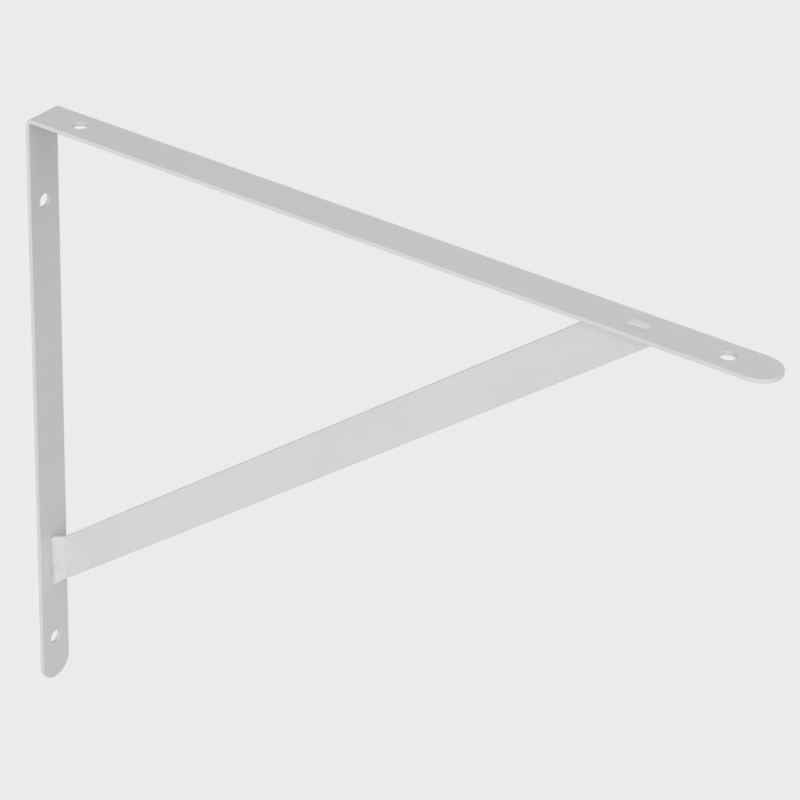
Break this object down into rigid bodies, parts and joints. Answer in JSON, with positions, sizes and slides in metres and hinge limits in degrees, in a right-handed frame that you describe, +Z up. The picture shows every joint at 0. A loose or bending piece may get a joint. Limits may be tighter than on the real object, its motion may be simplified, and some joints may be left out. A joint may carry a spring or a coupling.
{
  "type": "braced shelf bracket",
  "caption": "Rigid L-shaped shelf bracket bent from one flat strip, with a welded diagonal brace on edge, round ends and plain screw holes.",
  "frame": {"origin": "the corner where the wall plane meets the shelf plane, at the middle of the strip's width", "axes": "+X out from the wall along the shelf arm, +Z up out of the shelf face, +Y across the strip; the wall leg hangs along -Z"},
  "size_m": [0.38, 0.02, 0.3202],
  "materials": {
    "powder_coat": "satin pale grey powder coat over flat steel",
    "coated_weld": "the same powder coat over weld metal, slightly lighter and rippled"
  },
  "bodies": {
    "root": {"angle_strip": "powder_coat", "brace": "powder_coat", "leg_weld": "coated_weld", "plug_weld": "coated_weld"}
  },
  "joints": []
}
